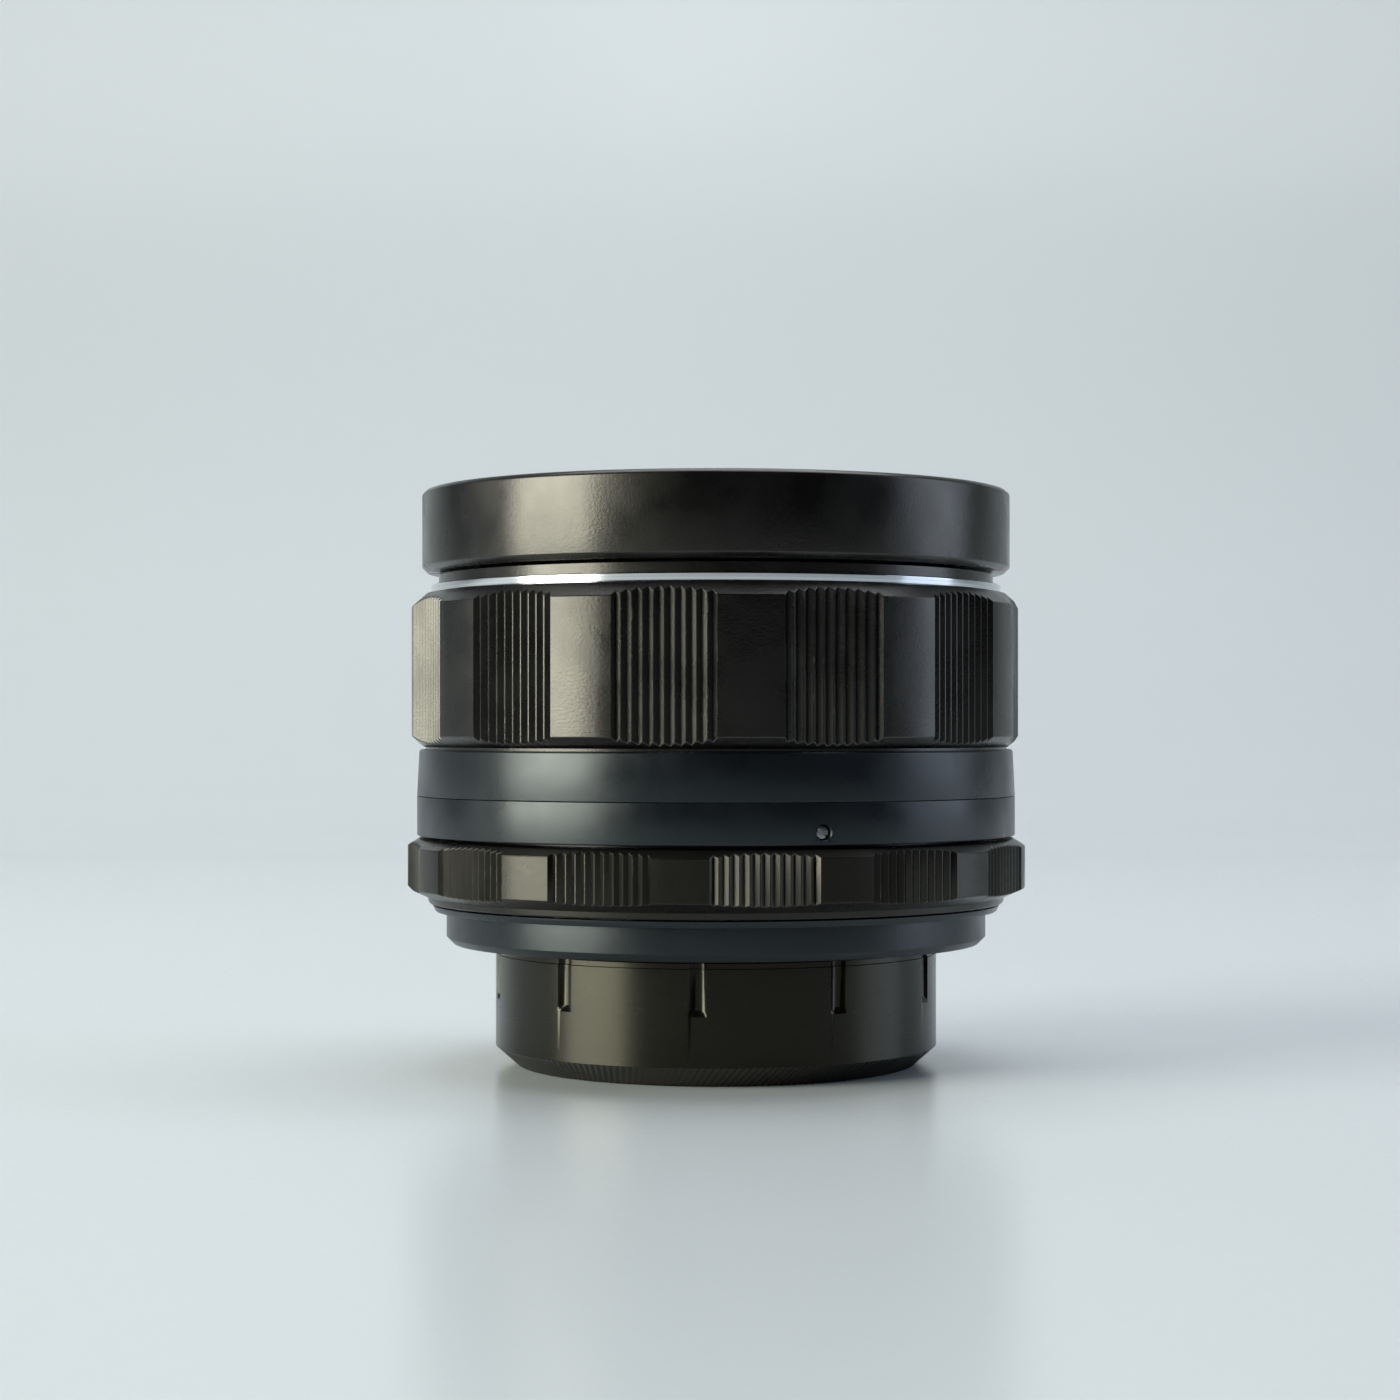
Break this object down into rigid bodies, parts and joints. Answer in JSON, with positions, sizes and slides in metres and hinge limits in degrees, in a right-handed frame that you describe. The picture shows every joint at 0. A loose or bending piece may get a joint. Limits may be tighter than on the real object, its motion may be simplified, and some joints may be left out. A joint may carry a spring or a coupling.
{
  "type": "manual focus camera lens",
  "caption": "Manual focus camera lens with a screw mount, serrated focus and aperture rings, a filter rim and working iris, standing on its screw-in rear cap.",
  "frame": {"origin": "centre of the rear cap's underside, on the surface the lens stands on", "axes": "+Z along the optical axis towards the front glass; -Y is the side that shows the index ring's slotted set screw to the right of centre; the switch is at +Y"},
  "size_m": [0.0635, 0.0637, 0.0588],
  "materials": {
    "black_anodised_aluminium": "fine bead-blasted black anodising, satin",
    "satin_black_aluminium": "smooth satin black",
    "inner_black_aluminium": "matt black, against stray light",
    "black_plastic": "semi-gloss moulded plastic with small scratches",
    "polished_aluminium": "polished",
    "bare_aluminium": "turned",
    "steel": "bright",
    "brass": "turned",
    "blade_steel": "blackened spring steel",
    "coated_glass": "polished, with an anti-reflection coating"
  },
  "bodies": {
    "barrel": {"mount_base_ring": "satin_black_aluminium", "mount_thread_ring": "bare_aluminium", "rear_light_baffle": "inner_black_aluminium", "fixed_barrel": "bare_aluminium", "index_ring": "satin_black_aluminium", "index_ring_set_screw_1": "steel", "index_ring_set_screw_2": "steel", "index_ring_set_screw_3": "steel", "mount_screw_1": "steel", "mount_screw_2": "steel", "mount_screw_3": "steel", "guide_key_a": "brass", "guide_key_b": "brass", "aperture_click_ball": "steel", "aperture_click_spring": "steel", "focus_retaining_ring": "brass"},
    "rear_cap": {"rear_cap": "black_plastic"},
    "aperture_ring": {"aperture_ring": "black_anodised_aluminium", "aperture_fork": "brass", "aperture_fork_screw": "steel"},
    "focus_ring": {"distance_scale_ring": "satin_black_aluminium", "focus_grip_ring": "black_anodised_aluminium", "silver_trim_ring": "polished_aluminium", "focus_helicoid_ring": "brass", "helicoid_screw_1": "steel", "helicoid_screw_2": "steel", "helicoid_screw_3": "steel"},
    "lens_block": {"focus_sleeve": "black_anodised_aluminium", "filter_ring": "black_anodised_aluminium", "name_ring": "satin_black_aluminium", "lens_carrier": "inner_black_aluminium", "front_lens_cell": "inner_black_aluminium", "rear_lens_cell": "inner_black_aluminium", "front_retaining_ring": "inner_black_aluminium", "middle_retaining_ring": "inner_black_aluminium", "rear_retaining_ring": "inner_black_aluminium", "rear_spacer_ring_front": "inner_black_aluminium", "rear_spacer_ring_rear": "inner_black_aluminium", "lens_element_1": "coated_glass", "lens_element_2": "coated_glass", "lens_element_3": "coated_glass", "lens_element_4": "coated_glass", "lens_element_5": "coated_glass", "lens_element_6": "coated_glass", "lens_element_7": "coated_glass", "iris_base_plate": "brass"},
    "iris_drive": {"iris_drive_ring": "brass", "iris_drive_pin": "steel"},
    "iris_blade_1": {"iris_blade_1": "blade_steel"},
    "iris_blade_2": {"iris_blade_2": "blade_steel"},
    "iris_blade_3": {"iris_blade_3": "blade_steel"},
    "iris_blade_4": {"iris_blade_4": "blade_steel"},
    "iris_blade_5": {"iris_blade_5": "blade_steel"},
    "iris_blade_6": {"iris_blade_6": "blade_steel"},
    "stop_down_pin": {"stop_down_pin": "steel", "stop_down_spring": "steel"},
    "auto_manual_switch": {"auto_manual_switch": "satin_black_aluminium"}
  },
  "joints": [
    {"name": "focus_turn", "type": "hinge", "parent": "barrel", "child": "focus_ring", "pos_m": [0, 0, 0.038], "axis": [0, 0, 1], "range_deg": [0, 250]},
    {"name": "focus_extension", "type": "slide", "parent": "barrel", "child": "lens_block", "axis": [0, 0, 1], "range_m": [0, 0.008]},
    {"name": "aperture_turn", "type": "hinge", "parent": "barrel", "child": "aperture_ring", "pos_m": [0, 0, 0.02], "axis": [0, 0, 1], "range_deg": [0, 42]},
    {"name": "iris_drive_turn", "type": "hinge", "parent": "lens_block", "child": "iris_drive", "pos_m": [0, 0, 0.0317], "axis": [0, 0, 1], "range_deg": [0, 42]},
    {"name": "iris_blade_1_turn", "type": "hinge", "parent": "lens_block", "child": "iris_blade_1", "pos_m": [0, 0.0183, 0.0315], "axis": [0, 0, 1], "range_deg": [-37.3, 0]},
    {"name": "iris_blade_2_turn", "type": "hinge", "parent": "lens_block", "child": "iris_blade_2", "pos_m": [-0.01585, 0.00915, 0.0315], "axis": [0, 0, 1], "range_deg": [-37.3, 0]},
    {"name": "iris_blade_3_turn", "type": "hinge", "parent": "lens_block", "child": "iris_blade_3", "pos_m": [-0.01585, -0.00915, 0.0315], "axis": [0, 0, 1], "range_deg": [-37.3, 0]},
    {"name": "iris_blade_4_turn", "type": "hinge", "parent": "lens_block", "child": "iris_blade_4", "pos_m": [0, -0.0183, 0.0315], "axis": [0, 0, 1], "range_deg": [-37.3, 0]},
    {"name": "iris_blade_5_turn", "type": "hinge", "parent": "lens_block", "child": "iris_blade_5", "pos_m": [0.01585, -0.00915, 0.0315], "axis": [0, 0, 1], "range_deg": [-37.3, 0]},
    {"name": "iris_blade_6_turn", "type": "hinge", "parent": "lens_block", "child": "iris_blade_6", "pos_m": [0.01585, 0.00915, 0.0315], "axis": [0, 0, 1], "range_deg": [-37.3, 0]},
    {"name": "stop_down_press", "type": "slide", "parent": "barrel", "child": "stop_down_pin", "axis": [0, 0, 1], "range_m": [0, 0.003], "stiffness_N_per_m": 120, "springref_m": -0.002, "deforming": ["stop_down_spring"]},
    {"name": "switch_turn", "type": "hinge", "parent": "barrel", "child": "auto_manual_switch", "pos_m": [0, 0, 0.0146], "axis": [0, 0, 1], "range_deg": [0, 10]},
    {"name": "rear_cap_removal", "type": "slide", "parent": "barrel", "child": "rear_cap", "axis": [0, 0, -1], "range_m": [0, 0.016]}
  ],
  "couplings": [
    {"joint": "focus_extension", "follows": "focus_turn", "m_per_rad": 0.0018335},
    {"joint": "iris_drive_turn", "follows": "aperture_turn", "ratio": 1},
    {"joint": "iris_blade_1_turn", "follows": "aperture_turn", "ratio": -0.88809},
    {"joint": "iris_blade_2_turn", "follows": "aperture_turn", "ratio": -0.88809},
    {"joint": "iris_blade_3_turn", "follows": "aperture_turn", "ratio": -0.88809},
    {"joint": "iris_blade_4_turn", "follows": "aperture_turn", "ratio": -0.88809},
    {"joint": "iris_blade_5_turn", "follows": "aperture_turn", "ratio": -0.88809},
    {"joint": "iris_blade_6_turn", "follows": "aperture_turn", "ratio": -0.88809}
  ]
}
